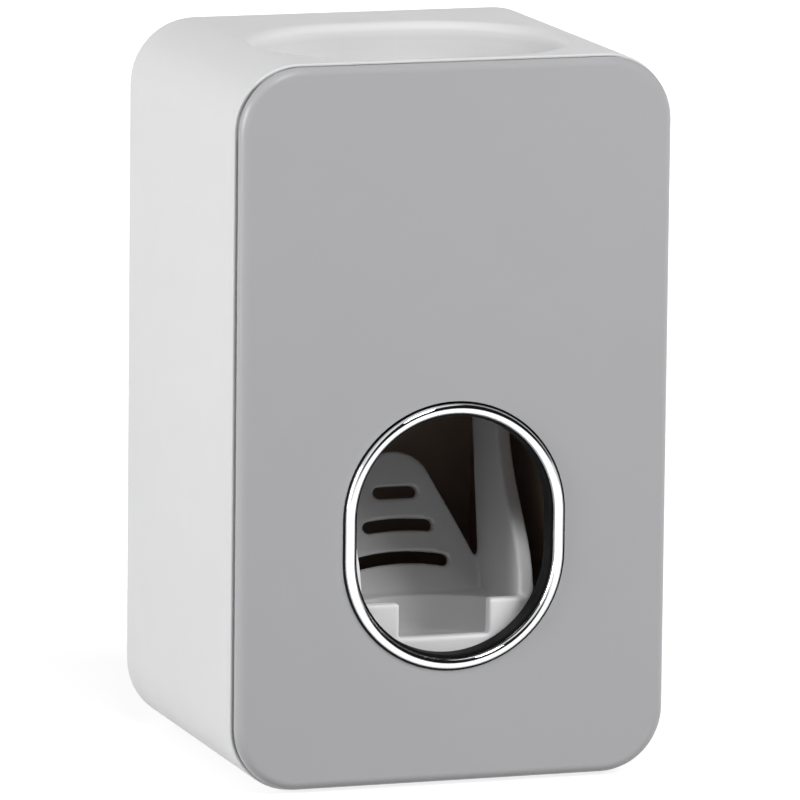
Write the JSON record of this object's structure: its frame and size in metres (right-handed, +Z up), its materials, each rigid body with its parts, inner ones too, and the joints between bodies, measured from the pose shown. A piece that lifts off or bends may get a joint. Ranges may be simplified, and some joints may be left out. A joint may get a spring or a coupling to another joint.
{
  "type": "toothpaste dispenser",
  "caption": "Wall-hung toothpaste dispenser: bowl on top takes an upturned tube, and a brush pushed into the chrome-ringed front opening swings a lever that works a pump.",
  "frame": {"origin": "bottom centre of the whole assembly's box", "axes": "+Z up, -Y towards the user (the front panel), +Y towards the wall, +X to the right as the user sees it"},
  "size_m": [0.0716, 0.0615, 0.115],
  "materials": {
    "white_plastic": "gloss",
    "panel_plastic": "satin gloss",
    "chrome_ring": "mirror",
    "lever_plastic": "satin",
    "frame_plastic": "satin",
    "clear_white_plastic": "gloss",
    "silicone": "matt",
    "seal_rubber": "matt",
    "spring_steel": "drawn wire",
    "pin_steel": "ground",
    "screw_steel": "zinc plated",
    "pad_foam": "matt"
  },
  "bodies": {
    "case": {"housing": "white_plastic", "front_panel": "panel_plastic", "opening_ring": "chrome_ring", "inner_frame": "frame_plastic", "rear_cover": "white_plastic", "tube_seal": "silicone", "inlet_adapter": "white_plastic", "stem_seal": "seal_rubber", "pump_cylinder": "clear_white_plastic", "return_spring": "spring_steel", "outlet_nozzle": "silicone", "nozzle_ring": "white_plastic", "pivot_pin_left": "pin_steel", "pivot_pin_right": "pin_steel", "panel_screws": "screw_steel", "frame_screws": "screw_steel", "cover_screws": "screw_steel", "adapter_screws": "screw_steel", "pump_screws": "screw_steel"},
    "lever": {"push_lever": "lever_plastic"},
    "piston": {"plunger": "white_plastic", "piston_seal": "seal_rubber", "inlet_valve": "silicone"},
    "hanger": {"wall_plate": "clear_white_plastic", "adhesive_pad": "pad_foam"}
  },
  "joints": [
    {"name": "lever_swing", "type": "hinge", "parent": "case", "child": "lever", "pos_m": [0, 0.00915, 0.08058], "axis": [1, 0, 0], "range_deg": [0, 18], "stiffness_Nm_per_rad": 0.5, "springref_deg": -17.19},
    {"name": "piston_slide", "type": "slide", "parent": "case", "child": "piston", "axis": [0, 0, -1], "range_m": [0, 0.00444], "deforming": ["return_spring"]},
    {"name": "hanger_slide", "type": "slide", "parent": "case", "child": "hanger", "axis": [0, 0, -1], "range_m": [0, 0.01]}
  ],
  "couplings": [
    {"joint": "piston_slide", "follows": "lever_swing", "m_per_rad": 0.014116}
  ]
}
